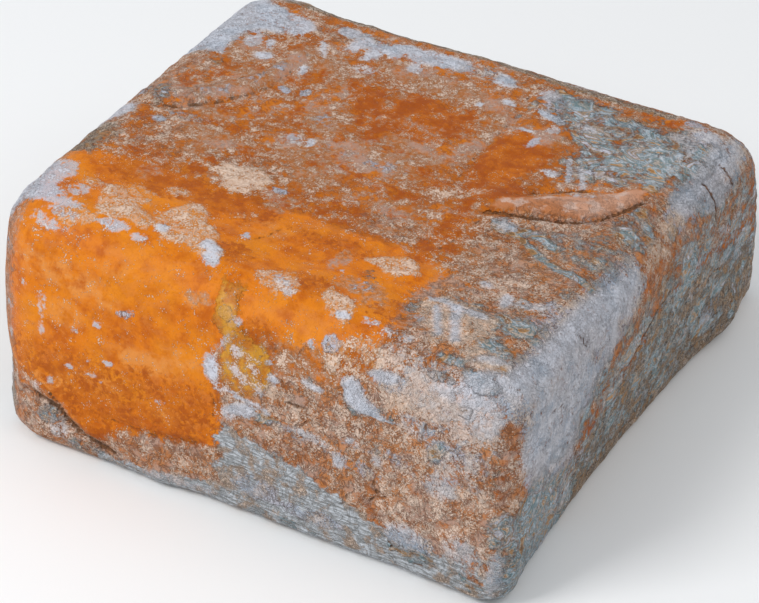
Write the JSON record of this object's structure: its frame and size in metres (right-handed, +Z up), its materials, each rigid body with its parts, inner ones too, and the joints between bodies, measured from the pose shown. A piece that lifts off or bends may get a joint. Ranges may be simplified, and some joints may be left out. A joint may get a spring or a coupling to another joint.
{
  "type": "square washed-rind cheese",
  "caption": "Whole square block of soft washed-rind cheese with rounded, slumped edges and a mottled orange, lilac and grey rind, standing on a flat foot.",
  "frame": {"origin": "middle of the flat foot that the cheese stands on", "axes": "+Z up out of the top; +X and -Y point out of the two walls that meet at the sharpest upright corner"},
  "size_m": [0.1794, 0.1852, 0.0745],
  "materials": {
    "rind": "satin"
  },
  "bodies": {
    "root": {"cheese_block": "rind"}
  },
  "joints": []
}
